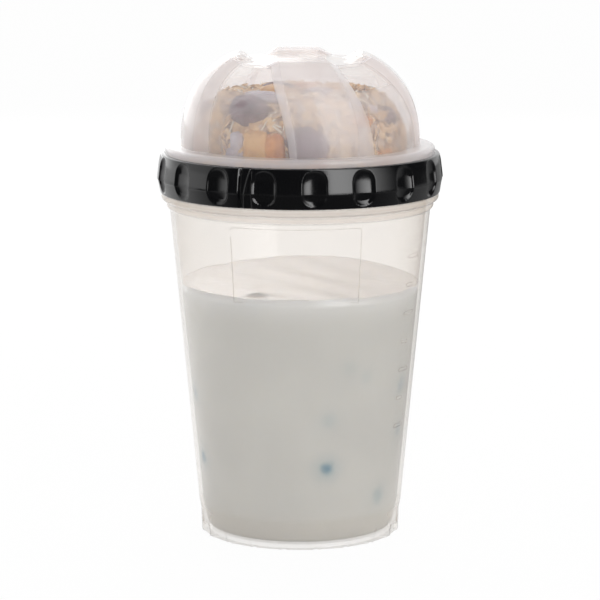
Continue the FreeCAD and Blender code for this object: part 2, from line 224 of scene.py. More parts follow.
@dataclass(frozen=True)
class MilkyPlastic:
    """Thin, slightly milky clear plastic with a light gloss.

    The milkiness grows towards the edges, where the wall is seen at a slant. A vertex attribute
    named "haze" adds to it where the wall is frosted or stands off from what is behind it, and one
    named "shade" darkens it where a fold in the wall gathers shadow.
    """

    name: str
    tint: Colour
    veil: float                # share hidden by one face of the wall, seen square on
    haze: float = 0.0          # what the haze attribute adds to that share
    gloss: float = 0.12        # roughness of the shine
    shine: float = 0.03        # share mirrored square on
    speck: float = 0.05        # depth of the fine unevenness in the moulding, in millimetres
    through: float = 0.5       # share of the milky body's light that comes from behind it

    def material(self) -> bpy.types.Material:
        """Builds the material."""
        made = bpy.data.materials.new(self.name)
        tree = Tree(made)
        facing = tree.sock("ShaderNodeLayerWeight", None, {"Blend": 0.5}, output="Facing")
        slant = 1.0 + 1.6 * facing ** 2.0 + 3.0 * facing ** 8.0
        clouds = tree.noise(60.0, 4.0) - 0.5
        veil = tree.sock("ShaderNodeAttribute", {"attribute_name": "haze"}, output="Fac") * self.haze
        veil = (veil + self.veil + clouds * (0.25 * self.veil)).clamped(0.0, 0.95)
        share = 1.0 - (1.0 - veil) ** slant
        grain = tree.noise(900.0, 2.0)
        slow = tree.noise(90.0, 2.0)
        normal = tree.bump(slow + grain * 0.08, self.speck)
        tint = tree.blend(tree.noise(45.0, 2.0), tuple(c * 0.97 for c in self.tint), self.tint)
        dim = tree.sock("ShaderNodeAttribute", {"attribute_name": "shade"}, output="Fac")
        tint = tree.blend(dim, tint, tuple(c * 0.35 for c in self.tint))
        body = tree.node("ShaderNodeBsdfPrincipled", None, {
            "Base Color": tint, "Roughness": 0.42, "Normal": normal})
        through = tree.node("ShaderNodeBsdfTranslucent", None, {"Color": (*self.tint, 1.0)})
        milk = tree.node("ShaderNodeMixShader", None,
                         {0: self.through * (1.0 - dim), 1: body.outputs[0], 2: through.outputs[0]})
        clear = tree.node("ShaderNodeBsdfTransparent", None, {"Color": (0.997, 0.995, 0.992, 1.0)})
        wall = tree.node("ShaderNodeMixShader", None, {0: share, 1: clear.outputs[0], 2: milk.outputs[0]})
        shine = tree.node("ShaderNodeBsdfAnisotropic", None,
                          {"Color": (1.0, 1.0, 1.0, 1.0), "Roughness": self.gloss, "Normal": normal})
        mirror = self.shine + (0.92 - self.shine) * facing ** 5.0
        tree.finish(tree.node("ShaderNodeMixShader", None,
                              {0: mirror, 1: wall.outputs[0], 2: shine.outputs[0]}))
        return made


@dataclass(frozen=True)
class BlackPlastic:
    """Glossy black moulding with a very fine grain and faint smudges."""

    name: str = "black_gloss_moulding"
    colour: Colour = (0.0035, 0.0036, 0.0042)

    def material(self) -> bpy.types.Material:
        """Builds the material."""
        made = bpy.data.materials.new(self.name)
        tree = Tree(made)
        grain = tree.noise(2600.0, 2.0)
        smudge = tree.noise(70.0, 3.0)
        rough = 0.08 + smudge.ramp(0.42, 0.72) * 0.08 + grain * 0.04
        normal = tree.bump(grain, 0.012)
        body = tree.node("ShaderNodeBsdfPrincipled", None, {
            "Base Color": (*self.colour, 1.0), "Roughness": rough, "Normal": normal,
            "Specular IOR Level": 0.5, "IOR": 1.5})
        tree.finish(body)
        return made


@dataclass(frozen=True)
class YogurtFinish:
    """Smooth cream with stains around the sunken berries, and painted light: lighter on its open surface and
    the wall just under it, so a little darker low down.
    """

    name: str
    cream: Colour
    shade: Colour
    stain: Colour
    surface: Colour            # painted light: the lighter colour of the open surface and of the wall just under it
    spots: tuple[tuple[Vector, float, float], ...]     # centre, radius and strength of each stain

    def material(self) -> bpy.types.Material:
        """Builds the material."""
        made = bpy.data.materials.new(self.name)
        tree = Tree(made)
        place = tree.place()
        cloud = tree.noise(38.0, 4.0, place)
        colour = tree.blend(cloud.ramp(0.35, 0.68), self.shade, self.cream)
        # painted light: the "top" attribute lightens the open surface and the wall just under it
        top = tree.sock("ShaderNodeAttribute", {"attribute_name": "top"}, output="Fac")
        colour = tree.blend(top, colour, self.surface)
        for centre, radius, strength in self.spots:
            away = tree.sock("ShaderNodeVectorMath", {"operation": "DISTANCE"},
                             {0: place, 1: tuple(centre)}, output="Value")
            ragged = away + (tree.noise(420.0, 2.0, place) - 0.5) * (0.6 * radius)
            inner = 1.0 - ragged.ramp(0.1 * radius, 1.2 * radius)
            halo = 1.0 - ragged.ramp(0.4 * radius, 2.8 * radius)
            colour = tree.blend(inner * (0.75 * strength) + halo * (0.22 * strength), colour, self.stain)
        normal = tree.bump(tree.noise(260.0, 3.0, place), 0.12)
        tree.finish(tree.node("ShaderNodeBsdfPrincipled", None, {
            "Base Color": colour, "Roughness": 0.24, "Normal": normal, "Subsurface Weight": 0.25,
            "Subsurface Radius": (0.9, 0.8, 0.65), "Subsurface Scale": 2.0 * MM}))
        return made


@dataclass(frozen=True)
class FoodFinish:
    """A dry or sticky food surface with two colours in patches, speckles and relief."""

    name: str
    light: Colour
    dark: Colour
    patch: float               # patches per metre
    relief: float              # depth of the relief in millimetres
    rough: float = 0.6
    speckle: Colour | None = None
    glow: float = 0.0          # share of light that passes under the surface

    def material(self) -> bpy.types.Material:
        """Builds the material."""
        made = bpy.data.materials.new(self.name)
        tree = Tree(made)
        place = tree.place()
        patches = tree.noise(self.patch, 4.0, place)
        colour = tree.blend(patches.ramp(0.38, 0.62), self.dark, self.light)
        if self.speckle:
            dots = tree.noise(self.patch * 5.0, 2.0, place).ramp(0.60, 0.68)
            colour = tree.blend(dots, colour, self.speckle)
        fine = tree.noise(self.patch * 3.0, 5.0, place)
        tree.finish(tree.node("ShaderNodeBsdfPrincipled", None, {
            "Base Color": colour, "Roughness": self.rough, "Normal": tree.bump(fine + patches, self.relief),
            "Subsurface Weight": self.glow, "Subsurface Radius": (1.0, 0.6, 0.4),
            "Subsurface Scale": 1.0 * MM}))
        return made


# ---------------------------------------------------------------- mesh helpers


def mesh_object(name: str, places: np.ndarray, faces: Iterable[Sequence[int]],
                smooth: bool = True) -> bpy.types.Object:
    """Makes an object at the origin from places in millimetres.

    Args:
        name: The piece's name.
        places: One row of x, y, z for each vertex.
        faces: Vertex numbers of each face, seen anticlockwise from outside.
        smooth: Whether its faces are shaded smooth.

    Returns:
        The new object, linked to the scene.
    """
    mesh = bpy.data.meshes.new(name)
    mesh.from_pydata((np.asarray(places, float) * MM).tolist(), [], [tuple(face) for face in faces])
    mesh.polygons.foreach_set("use_smooth", [smooth] * len(mesh.polygons))
    mesh.update()
    made = bpy.data.objects.new(name, mesh)
    bpy.context.scene.collection.objects.link(made)
    return made


def dress(piece: bpy.types.Object, material: bpy.types.Material) -> None:
    """Gives a piece one material."""
    piece.data.materials.clear()
    piece.data.materials.append(material)


def adopt(piece: bpy.types.Object, slot: Slot, *nodes: str) -> bpy.types.Object:
    """Puts a piece on the one body, hides the nodes it stands for, and logs it with its slot."""
    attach(piece, "root")
    if nodes:
        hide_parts(*nodes)
    LOG.info("%s: %d faces, %s", piece.name, len(piece.data.polygons), slot.value)
    return piece


def baked(piece: bpy.types.Object) -> bpy.types.Object:
    """Replaces a piece's mesh by what its modifiers make of it, and removes them."""
    graph = bpy.context.evaluated_depsgraph_get()
    mesh = bpy.data.meshes.new_from_object(piece.evaluated_get(graph))
    piece.modifiers.clear()
    piece.data = mesh
    return piece


def grid_faces(rows: int, columns: int, first: int = 0) -> list[tuple[int, int, int, int]]:
    """Faces of a grid that closes round its columns, with its rows running from bottom to top outside."""
    return [(first + row * columns + column, first + row * columns + (column + 1) % columns,
             first + (row + 1) * columns + (column + 1) % columns, first + (row + 1) * columns + column)
            for row in range(rows - 1) for column in range(columns)]


def around(columns: int) -> np.ndarray:
    """Angles from the front, in radians, positive towards +X."""
    return np.arange(columns) * (2 * math.pi / columns)


def polar(radius: np.ndarray, angle: np.ndarray, height: np.ndarray) -> np.ndarray:
    """Places from a radius, an angle from the front (-Y) and a height."""
    return np.stack(np.broadcast_arrays(radius * np.sin(angle), -radius * np.cos(angle), height), -1)


def rounded(corners: Sequence[tuple[float, float, float]], steps: int = 4) -> Profile:
    """An outline of (radius, height) with its corners rounded.

    Args:
        corners: Radius, height and rounding of each corner.
        steps: Points along each rounding, less one.

    Returns:
        The outline's points in order.
    """
    outline: Profile = []
    for number, (radius, height, rounding) in enumerate(corners):
        here = Vector((radius, height))
        if rounding <= 0 or number in (0, len(corners) - 1):
            outline.append((radius, height))
            continue
        before = Vector(corners[number - 1][:2]) - here
        after = Vector(corners[number + 1][:2]) - here
        cut = min(rounding, 0.45 * before.length, 0.45 * after.length)
        start, end = here + before.normalized() * cut, here + after.normalized() * cut
        for step in range(steps + 1):
            share = step / steps
            place = start.lerp(here, share).lerp(here.lerp(end, share), share)
            outline.append((place.x, place.y))
    return outline


def eased(share: float) -> float:
    """smooth_step of one number."""
    return float(smooth_step(np.array(share)))


def divided(outline: Profile, longest: float) -> Profile:
    """The outline with no stretch longer than a length."""
    points = [outline[0]]
    for (r0, z0), (r1, z1) in zip(outline, outline[1:]):
        parts = max(1, math.ceil(math.hypot(r1 - r0, z1 - z0) / longest))
        points += [(r0 + (r1 - r0) * part / parts, z0 + (z1 - z0) * part / parts)
                   for part in range(1, parts + 1)]
    return points


def lathe(name: str, outline: Profile, columns: int,
          shape: Callable[[np.ndarray, np.ndarray, np.ndarray], np.ndarray] | None = None,
          closed: bool = False) -> bpy.types.Object:
    """Turns an outline round the axis.

    Args:
        name: The piece's name.
        outline: Radius and height of its points, outside going up. A radius of 0 closes to a pole.
        columns: Points round each ring.
        shape: Gives each point's radius from its radius, angle and height.
        closed: Whether the last ring joins the first.

    Returns:
        The new object.
    """
    angle = around(columns)[None, :]
    rings = [(radius, height) for radius, height in outline if radius > 0]
    radius = np.array([ring[0] for ring in rings])[:, None] + 0 * angle
    height = np.array([ring[1] for ring in rings])[:, None] + 0 * angle
    if shape:
        radius = shape(radius, angle + 0 * radius, height)
    places = polar(radius, angle, height).reshape(-1, 3)
    faces: list[tuple[int, ...]] = list(grid_faces(len(rings), columns))
    if closed:
        last = (len(rings) - 1) * columns
        faces += [(last + c, last + (c + 1) % columns, (c + 1) % columns, c) for c in range(columns)]
    ends = ((outline[0], 0, True), (outline[-1], len(rings) - 1, False))
    for (pole_radius, pole_height), ring, flip in ends:
        if pole_radius == 0:
            pole = len(places)
            places = np.vstack([places, [[0, 0, pole_height]]])
            start = ring * columns
            pairs = [(start + c, start + (c + 1) % columns) for c in range(columns)]
            faces += [(b, a, pole) if flip else (a, b, pole) for a, b in pairs]
    return mesh_object(name, places, faces)


def smooth_step(value: np.ndarray) -> np.ndarray:
    """0 below 0, 1 above 1, and a smooth rise between."""
    value = np.clip(value, 0, 1)
    return value * value * (3 - 2 * value)


def degrees_apart(angle: np.ndarray, centre: float) -> np.ndarray:
    """Degrees from a centre direction, between -180 and 180."""
    return (np.degrees(angle) - centre + 180) % 360 - 180


# ---------------------------------------------------------------- the parts


@dataclass
class Frame:
    """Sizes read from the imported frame, in millimetres."""

    boxes: dict[str, tuple[Vector, Vector]] = field(default_factory=dict)

    @classmethod
    def read(cls, nodes: Iterable[str]) -> "Frame":
        """Reads each node's box."""
        return cls({node: tuple(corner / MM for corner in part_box(node)) for node in nodes})

    def low(self, node: str) -> float:
        """A node's lowest height."""
        return self.boxes[node][0].z

    def high(self, node: str) -> float:
        """A node's greatest height."""
        return self.boxes[node][1].z

    def reach(self, node: str) -> float:
        """A node's largest distance from the axis along X."""
        return max(abs(self.boxes[node][0].x), abs(self.boxes[node][1].x))


@dataclass
class Cup:
    """Tapered clear cup with a scalloped foot and two beads under its rim."""

    rim_z: float
    bead_radius: float
    foot_radius: float = 35.0
    foot_top: float = 7.6
    low_radius: float = 35.6
    low_z: float = 10.2
    top_radius: float = 45.3
    top_z: float = 113.4
    wall: float = 1.5
    floor_z: float = 2.3
    arches: int = 20
    columns: int = 400

    def outer(self, height: float) -> float:
        """Radius of the tapered wall's outside at a height."""
        widening = self.top_radius - self.low_radius
        return self.low_radius + widening * (height - self.low_z) / (self.top_z - self.low_z)

    def inner(self, height: float) -> float:
        """Radius of the cavity at a height."""
        return self.outer(height) - self.wall

    def outline(self) -> Profile:
        """The shell's outline, from the underside's middle over the rim to the floor's middle."""
        bead, rim = self.bead_radius, self.bead_radius - 1.4
        corners = (
            (0, 1.2, 0), (31.2, 1.2, 0.3), (31.2, 0, 0.3), (self.foot_radius - 0.1, 0, 0.5),
            (self.foot_radius, self.foot_top, 0.8), (self.low_radius, self.low_z, 1.6),
            (self.outer(114.5), 114.5, 0.4), (self.top_radius + 1.2, 115.4, 0.6),
            (self.top_radius + 1.25, 116.9, 0.4), (self.top_radius + 1.3, 117.3, 0.25),
            (bead, 118.1, 0.8), (bead, 120.25, 0.25), (rim, 120.3, 0.2), (rim, self.rim_z, 0.5),
            (self.inner(self.rim_z), self.rim_z, 0.5), (self.inner(self.low_z), self.low_z, 1.5),
            (self.inner(self.low_z) - 1.8, self.floor_z, 1.8), (0, self.floor_z, 0))
        outline = divided(rounded(corners), 2.0)
        low = next(number for number, (_, height) in enumerate(outline) if height > 112)
        high = next(number for number, (_, height) in enumerate(outline) if height > 121)
        return outline[:low] + divided(outline[low:high], 0.3) + outline[high:]

    def scallops(self, radius: np.ndarray, angle: np.ndarray, height: np.ndarray) -> np.ndarray:
        """Presses arched scallops into the outside of the foot."""
        pitch = 360 / self.arches
        across = (np.degrees(angle) + pitch / 2) % pitch - pitch / 2
        sideways = np.radians(across) * self.foot_radius
        distance = np.hypot(sideways, np.maximum(height - 0.9, 0)) / 4.3
        depth = 0.75 * (1 - smooth_step((distance - 0.82) / 0.18))
        outside = (radius > self.foot_radius - 2.0) & (height < self.foot_top)
        return radius - np.where(outside, depth, 0)

    def marking(self, mark: Mark, heights: np.ndarray, seam: np.ndarray, foot: np.ndarray) -> np.ndarray:
        """How strongly the cup is marked at each place.

        Args:
            mark: Which attribute.
            heights: The places' heights.
            seam: How near each is to a seam between two scallops.
            foot: How far each is on the foot.

        Returns:
            Values from 0 to 1.
        """
        marks = sum(peak * np.clip(1.4 - np.abs(heights - middle) / half, 0, 1)
                    for middle, half, peak in CUP_BANDS[mark])
        marks = np.where(heights < 12, foot * (0.22 if mark is Mark.HAZE else 0.0), marks)
        if mark is Mark.SHADE:
            marks += 0.6 * seam * np.clip(1.6 - heights / 2.0, 0, 1)
        return np.clip(marks, 0, 1)

    def build(self, finish: MilkyPlastic) -> bpy.types.Object:
        """Makes the cup."""
        piece = lathe("cup_shell", self.outline(), self.columns, self.scallops)
        places = np.array([vertex.co for vertex in piece.data.vertices]) / MM
        heights, radius = places[:, 2], np.hypot(places[:, 0], places[:, 1])
        outside = radius > self.foot_radius - 2.5
        pitch = 2 * math.pi / self.arches
        across = np.abs((np.arctan2(places[:, 0], -places[:, 1])) % pitch / pitch - 0.5) * pitch * radius
        seam = np.where(outside, smooth_step(1.5 - across / 0.9), 0)
        foot = np.where(outside, smooth_step((heights - 1.6) / 1.2) * smooth_step((12.0 - heights) / 3.0), 0)
        places[:, 2] += 0.4 * seam * np.clip(1 - heights / 1.4, 0, 1)
        piece.data.vertices.foreach_set("co", (places * MM).ravel())
        for mark in Mark:
            values = self.marking(mark, heights, seam, foot)
            piece.data.attributes.new(mark.value, "FLOAT", "POINT").data.foreach_set("value", values)
        dress(piece, finish.material())
        return adopt(piece, Slot.CUP, "cup")


@dataclass
class Ring:
    """Black clamping ring with finger scoops and a joint."""

    low_z: float
    high_z: float
    radius: float
    bore: float
    scoops: int = 18
    phase: float = 5.8
    scoop_width: float = 8.6
    scoop_height: float = 12.0
    scoop_depth: float = 1.5
    joint: float = -22.2
    columns: int = 1440

    def outline(self) -> Profile:
        """The ring's section, as a closed outline."""
        low, high, out, part = self.low_z, self.high_z, self.radius, self.low_z + 4.9
        outside = rounded((
            (out - 1.25, low, 0), (out - 1.1, low + 0.25, 0.25), (out - 0.12, part - 0.05, 0.2),
            (out, part, 0.0), (out - 0.05, part + 0.9, 0.6), (out - 0.7, high - 2.6, 1.6),
            (out - 1.35, high - 0.15, 1.0), (out - 2.4, high, 0.25), (self.bore, high, 0)))
        return divided(outside, 0.42) + [(self.bore, low)]

    def dented(self, radius: np.ndarray, angle: np.ndarray, height: np.ndarray) -> np.ndarray:
        """Scoops the ring's outside and cuts its joint."""
        pitch = 360 / self.scoops
        across = (degrees_apart(angle, self.phase) + pitch / 2) % pitch - pitch / 2
        sideways = np.radians(across) * self.radius / (self.scoop_width / 2)
        middle = (self.low_z + self.high_z) / 2 + 0.1
        upright = (height - middle) / (self.scoop_height / 2)
        inside = 1 - sideways ** 2 - np.abs(upright) ** 3.4
        depth = self.scoop_depth * np.sqrt(np.clip(inside, 0, 1))
        from_joint = np.radians(degrees_apart(angle, self.joint)) * self.radius
        share = (height - self.low_z) / (self.high_z - self.low_z)
        rib = smooth_step(1.4 - np.abs(from_joint - 2.6 * share ** 1.8 + 0.3) / 0.42)
        strip = 0.6 * smooth_step((2.5 - np.abs(from_joint)) / 0.25) * (1 - rib)
        curve = from_joint + 1.9 - 1.2 * (share - 0.5) ** 2
        slit = 1.1 * (1 - smooth_step((np.abs(curve) - 0.12) / 0.22))
        outside = radius > self.bore + 0.6
        return radius - np.where(outside, np.maximum(depth, np.maximum(strip, slit)), 0)

    def build(self, finish: BlackPlastic) -> bpy.types.Object:
        """Makes the ring."""
        piece = lathe("ring_band", self.outline(), self.columns, self.dented, closed=True)
        dress(piece, finish.material())
        return adopt(piece, Slot.RING, "grip_ring")


@dataclass
class Dome:
    """Clear dome with four leaning petals and sunken windows between them, on a rounded flange."""

    foot_z: float
    top_z: float
    rim: float
    base_z: float = 136.6
    wall: float = 1.2
    petals: int = 4
    petal_radius: float = 41.6
    petal_height: float = 36.2
    petal_power: float = 2.35
    window_radius: float = 39.8
    window_height: float = 34.8
    window_power: float = 2.2
    window_top: float = 165.9
    end_radius: float = 18.5
    side_rows: int = 40
    fold_highlight: float = 1.7     # how milky the folded edges are made, which paints a white highlight along the creases

    @staticmethod
    def oval(radius: float, height: float, power: float, rise: float) -> float:
        """Radius of a superellipse at a rise above its base."""
        return radius * (1 - min(max(rise, 0.0) / height, 1.0) ** power) ** (1 / power)

    @property
    def crest_top(self) -> float:
        """Height of the crests' flat tops, just under the highest point of the frame's dome."""
        return self.top_z - 1.0

    @property
    def face_top(self) -> float:
        """Height at which the petals' milky faces end in a crease and their clearer tops begin."""
        return self.top_z - 2.0

    def window(self, height: float) -> float:
        """Outer radius of the windows at a height."""
        return self.oval(self.window_radius, self.window_height, self.window_power, height - self.base_z)

    def petal(self, height: float) -> float:
        """Outer radius of the petals at a height."""
        return self.oval(self.petal_radius, self.petal_height, self.petal_power, height - self.base_z)

    def edges(self, share: float) -> tuple[float, float, float, float]:
        """Where a petal's slopes and crest begin and end, at a share of the height.

        Args:
            share: 0 at the base, 1 at the top.

        Returns:
            Degrees of the left slope's foot, the crest's left and right edge and the right slope's foot.
        """
        lean = 13.4 + (1.9 - 13.4) * share ** 2.2
        half = 14.6 + 3.0 * share + 2.0 * share ** 6
        radius = self.petal(self.base_z + share * (self.top_z - self.base_z))
        left = math.degrees((2.9 + 1.5 * share) / radius)
        right = math.degrees((8.4 - 4.6 * share) / radius)
        return lean - half - left, lean - half, lean + half, lean + half + right

    def columns_at(self, share: float) -> tuple[np.ndarray, np.ndarray, np.ndarray]:
        """The columns' angles at a share of the height, bunched so that some follow every edge.

        Args:
            share: 0 at the base, 1 at the top.

        Returns:
            Angles in radians, how far each is up on a petal, and how milky its wall is.
        """
        foot_left, left, right, foot_right = self.edges(share)
        pitch = 360 / self.petals
        degrees, up, milk = [], [], []
        mist = 0.25 * math.exp(-((share - 0.57) / 0.09) ** 2) - 0.38 * eased((share - 0.64) / 0.1)
        low = 1 - eased(share / 0.65)
        spans = ((foot_left, left, 8, 0, 1), (left, right, 52, 1, 1), (right, foot_right, 12, 1, 0),
                 (foot_right, foot_left + pitch, 48, 0, 0))
        for petal in range(self.petals):
            for start, end, count, low_end, high_end in spans:
                for step in range(count):
                    part = step / count
                    rise = low_end + (high_end - low_end) * (0.75 * part + 0.25 * eased(part))
                    slope = low_end != high_end and 0 < step
                    degrees.append(petal * pitch + start + (end - start) * part)
                    up.append(rise)
                    face = 0.72 - (0.5 * low * (1 - part) if low_end == high_end else 0.0)
                    # the slopes are made fully milky: partly frosting, partly a painted highlight along the
                    # petals' edges
                    milk.append(1.0 if slope else face * rise + mist * (1 - rise))
        return np.radians(degrees), np.array(up), np.array(milk)

    def side(self, radius_at: Callable[[float], float], top: float) -> Profile:
        """A side outline from the base to where it turns over at its top."""
        rises = [math.sin(row / self.side_rows * math.pi / 2) * (top - self.base_z)
                 for row in range(self.side_rows + 1)]
        return [(radius_at(self.base_z + rise), self.base_z + rise) for rise in rises]

    def skin(self) -> tuple[np.ndarray, np.ndarray]:
        """The dome's outer skin.

        Returns:
            Places in rows from the skirt's foot to the disc's rim, and how milky each is.
        """
        foot_angle, _, _ = self.columns_at(0.0)
        flange = rounded(((self.rim, self.foot_z, 0), (self.rim, self.base_z, 2.2), (43.5, self.base_z, 0),
                          (self.petal_radius + 0.4, self.base_z - 0.1, 0)), 6)
        rows = [(polar(radius, foot_angle, height), 0.8 + 0 * foot_angle)
                for radius, height in divided(flange, 1.6)]
        low, high = self.side(self.window, self.window_top), self.side(self.petal, self.face_top)
        for window, petal in zip(low, high):
            angle, up, milk = self.columns_at((petal[1] - self.base_z) / (self.top_z - self.base_z))
            radius = window[0] + (petal[0] - window[0]) * up
            # the last row under the crease gets the painted highlight
            if petal[1] > high[-1][1] - 0.12:
                milk = milk * 0 + self.fold_highlight
            rows.append((polar(radius, angle, window[1] + (petal[1] - window[1]) * up), milk))
        angle, up, milk = self.columns_at(1.0)
        edge = low[-1][0] + (high[-1][0] - low[-1][0]) * up
        for part in (0.012, 0.03, *np.linspace(0.06, 1.0, 30)):
            rise = math.sin(min(part / 0.38, 1.0) * math.pi / 2)
            fall = eased((part - 0.38) / 0.62)
            crest = (self.face_top + (self.crest_top - self.face_top) * rise - self.window_top) * (1 - fall)
            radius = edge + (self.end_radius - 2.0 - edge) * part
            clear = -0.45 + 0.25 * up * (1 - fall)
            # the first rows over the crease also get the painted highlight
            milk = clear if part > 0.02 else self.fold_highlight + 0 * up
            rows.append((polar(radius, angle, self.window_top + crest * up), milk))
        for radius in (12.0, 9.0, 6.0, 3.0):
            rows.append((polar(radius + 0 * angle, angle, self.window_top + 0 * angle), -0.3 + 0 * angle))
        return np.stack([places for places, _ in rows]), np.stack([milk for _, milk in rows])

    def dim(self, points: np.ndarray) -> np.ndarray:
        """How shadowed each place is: the flange, and the windows' shoulders beside the petals."""
        angle, height = np.arctan2(points[:, 0], -points[:, 1]), points[:, 2]
        radius = np.hypot(points[:, 0], points[:, 1])
        _, left, right, _ = self.edges(0.85)
        from_petal = np.minimum(*(np.abs((degrees_apart(angle, edge) + 45) % 90 - 45)
                                  for edge in (left, right)))
        near = np.clip(1 - from_petal / 22.0, 0, 1)
        depth = smooth_step((height - (self.window_top - 1.0 - 9.0 * near ** 1.5)) / 4.0)
        window = np.array([self.window(max(value, self.base_z)) for value in height])
        wedge = 0.22 * depth * (radius > 21.5) * (np.abs(radius - window) < 0.35)
        return np.where(height < self.base_z + 0.3, 0.12, wedge)

    def build(self, finish: MilkyPlastic) -> bpy.types.Object:
        """Makes the dome as one skin, then gives it its wall."""
        places, mark = self.skin()
        rows, columns = mark.shape
        points = np.vstack([places.reshape(-1, 3), [[0, 0, self.window_top]]])
        last = (rows - 1) * columns
        faces: list[tuple[int, ...]] = list(grid_faces(rows, columns))
        faces += [(last + c, last + (c + 1) % columns, rows * columns) for c in range(columns)]
        piece = mesh_object("dome_shell", points, faces)
        haze = piece.data.attributes.new("haze", "FLOAT", "POINT")
        haze.data.foreach_set("value", np.append(mark.ravel(), -0.3))
        dim = self.dim(points)
        piece.data.attributes.new("shade", "FLOAT", "POINT").data.foreach_set("value", dim)
        solid = piece.modifiers.new("wall", "SOLIDIFY")
        solid.thickness, solid.offset, solid.use_even_offset = self.wall * MM, -1.0, False
        baked(piece)
        piece.data.set_sharp_from_angle(angle=math.radians(17))
        dress(piece, finish.material())
        return adopt(piece, Slot.DOME, "dome")


@dataclass(frozen=True)
class Berry:
    """A berry sunk in the yogurt against the wall."""

    angle: float               # degrees from the front
    height: float
    size: float                # its radius
    depth: float               # how far its surface is behind the cup's inner wall
    stain: float = 0.3         # how strongly it shows through


@dataclass
class Yogurt:
    """Yogurt that fills the cup up to its level, with berries against the wall."""

    cup: Cup
    level: float
    back_rise: float = 2.4
    ripple: float = 0.16
    columns: int = 288
    berries: tuple[Berry, ...] = (
        Berry(14.8, 28.8, 3.0, 0.35, 1.0), Berry(15.0, 46.0, 3.4, 0.6, 0.22),
        Berry(26.0, 64.0, 3.4, 0.9, 0.12), Berry(36.0, 60.5, 3.2, 0.7, 0.12),
        Berry(51.0, 16.5, 3.6, 0.5, 0.4), Berry(66.0, 54.5, 3.6, 0.4, 0.35),
        Berry(68.0, 38.5, 3.2, 0.5, 0.35), Berry(-74.0, 50.5, 3.4, 0.4, 0.5),
        Berry(-70.0, 28.0, 3.0, 0.4, 0.8), Berry(108.0, 33.0, 3.2, 0.4, 0.6),
        Berry(135.0, 62.0, 3.4, 0.4, 0.4), Berry(160.0, 24.0, 3.0, 0.4, 0.7),
        Berry(-165.0, 50.0, 3.5, 0.4, 0.5), Berry(-130.0, 71.0, 3.1, 0.4, 0.3),
        Berry(-110.0, 20.0, 3.3, 0.4, 0.6))

    def surface(self, x: np.ndarray, y: np.ndarray) -> np.ndarray:
        """Height of the yogurt's surface."""
        rise = self.back_rise * np.clip(y / 44.0, 0, None) ** 2
        waves = self.ripple * (np.sin(x / 9) + np.cos(y / 7 + x / 15)) + 0.15 * np.sin(x / 3.1 + y / 4.3)
        hump = 0.9 * np.exp(-((x + 15) ** 2 + (y + 30) ** 2) / 14)
        return self.level + rise + waves + hump

    def centre(self, berry: Berry, behind: float = 0.86) -> Vector:
        """Middle of a berry, or the place a share of its radius behind the wall."""
        sunk = berry.depth + berry.size * 0.14 if behind else 0.0
        away = self.cup.inner(berry.height) - sunk - berry.size * behind
        angle = math.radians(berry.angle)
        return Vector((away * math.sin(angle), -away * math.cos(angle), berry.height))

    def build(self, cream: Colour, shade: Colour, stain: Colour, painted_light_cream: Colour) -> bpy.types.Object:
        """Makes the yogurt, which reaches just into the cup's wall."""
        angle = around(self.columns)
        into = 0.12
        foot = self.cup.inner(self.cup.low_z) - 1.8
        outline = rounded(((3.0, self.cup.floor_z - into, 0), (foot + into, self.cup.floor_z - into, 1.6),
                           (self.cup.inner(self.cup.low_z) + into, self.cup.low_z, 1.5),
                           (self.cup.inner(self.level - 3) + into, self.level - 3, 0)))
        sides = divided(outline, 3.0)
        rows = [polar(radius, angle, 0 * angle + height) for radius, height in sides]
        # painted light: side rows within 10 mm of the level are painted a little lighter, more near the top
        light = [0.35 * max(0.0, (height - self.level + 10.0) / 10.0) ** 1.5 for _, height in sides]
        edge = self.cup.inner(self.level) + into
        for share in (1.0, 0.985, 0.965, 0.94, *np.linspace(0.9, 0.04, 26)):
            place = polar(edge * share, angle, 0 * angle)
            meniscus = 0.12 * max(0.0, (share - 0.94) / 0.06) ** 2
            place[:, 2] = self.surface(place[:, 0], place[:, 1]) + meniscus
            rows.append(place)
            light.append(0.5 if share == 1.0 else 1.0)
        points = np.vstack([np.concatenate(rows), [[0, 0, self.cup.floor_z - into]],
                            [[0, 0, float(self.surface(np.array(0.0), np.array(0.0)))]]])
        count, columns = len(rows), self.columns
        faces: list[tuple[int, ...]] = list(grid_faces(count, columns))
        last = (count - 1) * columns
        faces += [((c + 1) % columns, c, count * columns) for c in range(columns)]
        faces += [(last + c, last + (c + 1) % columns, count * columns + 1) for c in range(columns)]
        piece = mesh_object("yogurt_fill", points, faces)
        # the painted light goes into the attribute "top": 1 on the open surface, 0.5 at its edge
        top = np.append(np.repeat(light, columns), (0.0, 1.0))
        piece.data.attributes.new("top", "FLOAT", "POINT").data.foreach_set("value", top)
        spots = tuple((self.centre(berry, 0.0) * MM, berry.size * MM, berry.stain) for berry in self.berries)
        spots += ((Vector((-14.0, -30.5, self.level + 0.8)) * MM, 5.0 * MM, 0.35),)
        dress(piece, YogurtFinish("strained_yogurt", cream, shade, stain, painted_light_cream, spots).material())
        return adopt(piece, Slot.YOGURT, "yogurt")

    def build_berries(self, finish: FoodFinish) -> bpy.types.Object:
        """Makes the sunken berries as one piece."""
        lumps = [Lump((berry.size, berry.size * 0.94, berry.size * 0.9), 0.05, 11 + number)
                 .points(Matrix.Translation(self.centre(berry))) for number, berry in enumerate(self.berries)]
        piece = joined("yogurt_berries", lumps)
        dress(piece, finish.material())
        return adopt(piece, Slot.YOGURT)


